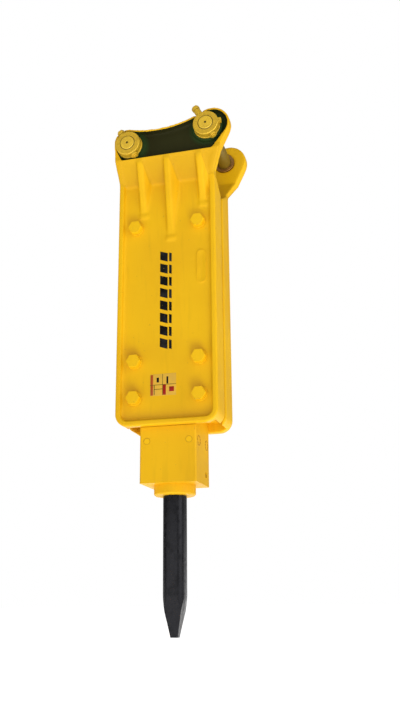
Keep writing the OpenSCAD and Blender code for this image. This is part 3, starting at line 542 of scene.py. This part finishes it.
# How uneven a bead is from one ring to the next, its rings a ripple, and its sides
BEAD_JITTER, BEAD_RINGS, BEAD_SIDES = 0.04, 2.5, 8


def add_piece(name, bm, material):
    """Makes a piece of the frame from a bmesh."""
    mesh = bpy.data.meshes.new(name)
    bmesh.ops.recalc_face_normals(bm, faces=bm.faces)
    for f in bm.faces:
        f.smooth = True
    bm.to_mesh(mesh)
    bm.free()
    mesh.materials.append(material)
    obj = bpy.data.objects.new(name, mesh)
    bpy.context.scene.collection.objects.link(obj)
    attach(obj, "hammer_frame")


def film(bm, outline, rise, side):
    """A thin printed shape on a side plate's panel. side is -1 for the front plate and 1 for the rear one."""
    cx = sum(p[0] for p in outline) / len(outline)
    cz = sum(p[1] for p in outline) / len(outline)
    rings = []
    for height, inset in ((FILM_ROOT, 1.0), (rise - FILM_EDGE, 1.0), (rise, FILM_TOP)):
        corners = ((cx + (x - cx) * inset, cz + (z - cz) * inset) for x, z in outline)
        rings.append([bm.verts.new(at(-side * x, side * (PANEL + height), z)) for x, z in corners])
    skin(bm, rings)


def box_outline(x0, x1, z0, z1, skew=0.0):
    """A block's four corners, with its left side raised by skew."""
    return [(x0, z0 + skew), (x1, z0), (x1, z1), (x0, z1 + skew)]


def turn(steps):
    """The angles of a full turn in equal steps."""
    return [2 * math.pi * k / steps for k in range(steps)]


def bead(bm, path, radius, ripple=0.1, pitch=0.005):
    """A rippled bead of weld or sealer round a closed path."""
    points = []
    for a, b in zip(path, path[1:] + path[:1]):
        steps = max(1, round((b - a).length / (pitch / BEAD_RINGS)))
        points += [a.lerp(b, k / steps) for k in range(steps)]
    n, along, rings, last_u = len(points), 0.0, [], None
    for i, p in enumerate(points):
        before, after = points[i - 1], points[(i + 1) % n]
        t = (after - before).normalized()
        u = (last_u - last_u.dot(t) * t).normalized() if rings else t.orthogonal().normalized()
        v = t.cross(u)
        uneven = ripple * math.sin(2 * math.pi * along / pitch) + random.uniform(-BEAD_JITTER, BEAD_JITTER)
        rings.append([bm.verts.new(p + radius * (1 + uneven) * (math.cos(a) * u + math.sin(a) * v))
                      for a in turn(BEAD_SIDES)])
        along += (p - before).length if i else 0.0
        last_u = u
    skin(bm, rings, closed=True)


def circle(centre, radius, y, steps=96):
    """A circle round a place in a plane across Y, in metres."""
    return [Vector((centre.x + radius * math.cos(a), y, centre.z + radius * math.sin(a)))
            for a in turn(steps)]


def obround(x, low, high, radius, y, steps=16):
    """A slot's outline: a half circle over its high end and one under its low end."""
    half = [math.pi * k / steps for k in range(steps + 1)]
    return ([at(x + radius * math.cos(a), y, high + radius * math.sin(a)) for a in half]
            + [at(x - radius * math.cos(a), y, low - radius * math.sin(a)) for a in half])


label_yellow = vinyl("label_yellow_film", (0.72, 0.42, 0.045))
label_orange = vinyl("label_orange_film", (0.42, 0.075, 0.012))
label_red = vinyl("label_red_film", (0.33, 0.012, 0.008))
film_black = vinyl("black_film", (0.003, 0.003, 0.003))
seam_tan = vinyl("plug_seam", (0.50, 0.27, 0.008))
seam_brown = vinyl("pin_seam", (0.40, 0.17, 0.008))

# Slanted stripes down the panel, each a wide part and a tail that sits a little lower, in millimetres
STRIPE_Z, STRIPES, STRIPE_GAP, STRIPE_RISE = (250.0, 586.0), 8, 13.0, 0.5
WIDE_X, WIDE_SKEW = (-24.0, 2.0), 9.0
TAIL_X, TAIL_SKEW, TAIL_DROP = (7.0, 16.0), 3.0, 1.5
# A small label of plain blocks: X from and to, Z from and to, and rise, in millimetres
LABEL = (
    ("label_base", label_yellow, ((-56, 31, 96, 168, 0.35),)),
    ("label_orange", label_orange, ((-54.5, -46, 98, 131, 0.6), (-54.5, -46, 133, 166, 0.6))),
    ("label_red", label_red, ((-13, -3, 98, 131, 0.6), (8, 24, 108, 124, 0.6))),
    ("label_black", film_black, ((-43, -15, 117, 118.5, 0.6), (-43, -41, 100, 131, 0.6),
                                 (-1, 5, 134, 158, 0.6), (-34, -26, 140, 156, 0.6),
                                 (-56, 31, 131.3, 132.6, 0.6), (-14.6, -13.4, 97, 167, 0.6))),
)

for side, place in BOTH_SIDES:
    bm = bmesh.new()
    pitch = (STRIPE_Z[1] - STRIPE_Z[0] + STRIPE_GAP) / STRIPES
    for k in range(STRIPES):
        low = STRIPE_Z[0] + k * pitch
        high = low + pitch - STRIPE_GAP
        film(bm, box_outline(*WIDE_X, low, high, WIDE_SKEW), STRIPE_RISE, side)
        film(bm, box_outline(*TAIL_X, low - TAIL_DROP, high - TAIL_DROP, TAIL_SKEW), STRIPE_RISE, side)
    add_piece(place + "_panel_stripes", bm, film_black)
    for name, material, blocks in LABEL:
        bm = bmesh.new()
        for x0, x1, z0, z1, rise in blocks:
            film(bm, box_outline(x0, x1, z0, z1), rise, side)
        add_piece(f"{place}_{name}", bm, material)

# Weld round each pin's boss, in metres: the circle's radius and place in Y, and the bead's radius
BOSS_R, BOSS_Y, BOSS_BEAD = 0.0435, 0.1415, 0.0028
for side, place in BOTH_SIDES:
    bm = bmesh.new()
    for centre in (STICK, LINK):
        bead(bm, circle(centre, BOSS_R, side * BOSS_Y), BOSS_BEAD)
    add_piece(place + "_collar_welds", bm, zinc)

# Weld round the obround pad on each panel, in millimetres, and its bead's radius and ripple pitch in metres
PAD_X, PAD_Z, PAD_R, PAD_RISE, PAD_BEAD, PAD_PITCH = 118, (484, 568), 15, 0.4, 0.0021, 0.006
# Sealer round the plugs on the head block's front and rear faces, in millimetres, and its bead's radius
PLUG_X, PLUG_Z, PLUG_R, BLOCK_Y, PLUG_BEAD = (-69, 69), -47, 10.4, 80, 0.0006
for side, place in BOTH_SIDES:
    bm = bmesh.new()
    bead(bm, obround(PAD_X, *PAD_Z, PAD_R, side * (PANEL + PAD_RISE)), PAD_BEAD, ripple=0.16, pitch=PAD_PITCH)
    add_piece(place + "_pad_weld", bm, body_paint)
    bm = bmesh.new()
    for x in PLUG_X:
        bead(bm, circle(at(x, 0, PLUG_Z), PLUG_R * MM, side * BLOCK_Y * MM), PLUG_BEAD, ripple=0.3)
    add_piece(place + "_plug_sealer", bm, seam_tan)

# Sealer round the two tool retaining pins' ends, on the block's right face, with its bead in metres
PIN_END_X, PIN_END_Y, PIN_END_R, PIN_END_STEPS = 92.5, (-47, 47), 15.5, 64
PIN_END_BEAD, PIN_END_PITCH = 0.0011, 0.011
bm = bmesh.new()
for y in PIN_END_Y:
    ring = [at(PIN_END_X, y + PIN_END_R * math.cos(a), PLUG_Z + PIN_END_R * math.sin(a))
            for a in turn(PIN_END_STEPS)]
    bead(bm, ring, PIN_END_BEAD, ripple=0.45, pitch=PIN_END_PITCH)
add_piece("retaining_pin_sealer", bm, seam_brown)


# ---------- stage: a pale floor at the chisel's tip, and a white studio ----------

FLOOR_HALF, FLOOR_WHITE, FLOOR_GREY = 30, (0.92, 0.92, 0.92), (0.90, 0.90, 0.90)
WHITE = (1.0, 1.0, 1.0, 1.0)
floor_corners = [(x * FLOOR_HALF, y * FLOOR_HALF, cad_box[0].z)
                 for x, y in ((-1, -1), (1, -1), (1, 1), (-1, 1))]
floor_mesh = bpy.data.meshes.new("floor")
floor_mesh.from_pydata(floor_corners, [], [(0, 1, 2, 3)])
floor = bpy.data.objects.new("floor", floor_mesh)
bpy.context.scene.collection.objects.link(floor)
floor_shader = Shader("pale_floor", FLOOR_WHITE, 0.9, Emission_Color=WHITE, Emission_Strength=0.9)
floor_shader.link("Base Color", floor_shader.mix(floor_shader.noise(2.0), FLOOR_WHITE, FLOOR_GREY))
floor.data.materials.append(floor_shader.mat)
floor.visible_shadow = False

# The sky's strength away from its bright side and on it, and the way to that side
SKY_DIM, SKY_BRIGHT, SKY_SIDE = 0.12, 0.49, Vector((0.75, -0.5, -0.45))


def light_sky():
    """A white world that the camera sees plain, and that lights the object more from one side."""
    world = bpy.data.worlds.new("studio")
    bpy.context.scene.world = world
    world.use_nodes = True
    nodes, links = world.node_tree.nodes, world.node_tree.links
    sky = nodes["Background"]
    sky.inputs["Color"].default_value = WHITE
    toward = nodes.new("ShaderNodeVectorMath")
    toward.operation = "DOT_PRODUCT"
    toward.inputs[1].default_value = SKY_SIDE.normalized()
    links.new(nodes.new("ShaderNodeTexCoord").outputs["Generated"], toward.inputs[0])
    strength = nodes.new("ShaderNodeMapRange")
    for i, value in enumerate((-1.0, 1.0, SKY_DIM, SKY_BRIGHT), 1):
        strength.inputs[i].default_value = value
    links.new(toward.outputs["Value"], strength.inputs[0])
    links.new(strength.outputs[0], sky.inputs["Strength"])
    shown = nodes.new("ShaderNodeBackground")
    shown.inputs["Color"].default_value = WHITE
    shown.inputs["Strength"].default_value = 1.0
    switch = nodes.new("ShaderNodeMixShader")
    links.new(nodes.new("ShaderNodeLightPath").outputs["Is Camera Ray"], switch.inputs["Fac"])
    links.new(sky.outputs[0], switch.inputs[1])
    links.new(shown.outputs[0], switch.inputs[2])
    links.new(switch.outputs[0], nodes["World Output"].inputs["Surface"])


def lamp(name, place, target, width, height, power):
    """A soft box that the camera doesn't see, turned to its target."""
    data = bpy.data.lights.new(name, "AREA")
    data.shape, data.size, data.size_y, data.energy = "RECTANGLE", width, height, power
    obj = bpy.data.objects.new(name, data)
    obj.location = place
    obj.rotation_mode = "QUATERNION"
    obj.rotation_quaternion = (Vector(target) - Vector(place)).to_track_quat("-Z", "Y")
    obj.visible_camera = False
    bpy.context.scene.collection.objects.link(obj)


light_sky()
SUN_FROM, SUN_POWER, SUN_SIZE = Vector((0.35, -0.47, -0.81)), 0.95, math.radians(26)
sun = bpy.data.lights.new("low_key", "SUN")
sun.energy, sun.angle = SUN_POWER, SUN_SIZE
low_key = bpy.data.objects.new("low_key", sun)
low_key.rotation_euler = SUN_FROM.to_track_quat("Z", "Y").to_euler()
bpy.context.scene.collection.objects.link(low_key)
BODY_MIDDLE, EAR_MIDDLE = (-0.15, 0.0, -0.75), (0.0, 0.1, 0.0)
lamp("front_fill", (-0.6, -3.2, 0.4), BODY_MIDDLE, 2.4, 2.4, 8.5)
lamp("right_fill", (2.6, -0.9, -0.3), BODY_MIDDLE, 1.6, 2.2, 15.0)
lamp("back_rim", (-1.2, 2.6, 0.9), BODY_MIDDLE, 1.8, 1.8, 16.0)
lamp("ear_fill", (1.9, -2.0, 0.5), EAR_MIDDLE, 0.7, 0.7, 4.5)


# ---------- camera: the view is turned 15 degrees from the front plate and looks up from below ----------

AZIMUTH, ELEVATION, ROLL = math.radians(14.92), math.radians(-16.53), math.radians(-0.53)
CAMERA_AT = Vector((0.595, -2.4955, -1.555))
SENSOR, HALF_HEIGHT = 36.0, 0.44336  # the sensor in millimetres, and the tangent of half of the view's height
CLIP = (0.05, 100.0)
back = Vector((math.sin(AZIMUTH) * math.cos(ELEVATION), -math.cos(AZIMUTH) * math.cos(ELEVATION),
               math.sin(ELEVATION)))
right = Vector((math.cos(AZIMUTH), math.sin(AZIMUTH), 0.0))
up = right.cross(-back)
right, up = (math.cos(ROLL) * right + math.sin(ROLL) * up, -math.sin(ROLL) * right + math.cos(ROLL) * up)
camera_data = bpy.data.cameras.new("camera")
camera_data.sensor_fit, camera_data.sensor_width = "AUTO", SENSOR
camera_data.lens = SENSOR / 2 / HALF_HEIGHT
camera_data.clip_start, camera_data.clip_end = CLIP
camera = bpy.data.objects.new("camera", camera_data)
camera.matrix_world = Matrix.Translation(CAMERA_AT) @ Matrix((right, up, back)).transposed().to_4x4()
bpy.context.scene.collection.objects.link(camera)
bpy.context.scene.camera = camera
bpy.context.scene.view_settings.view_transform = "Standard"
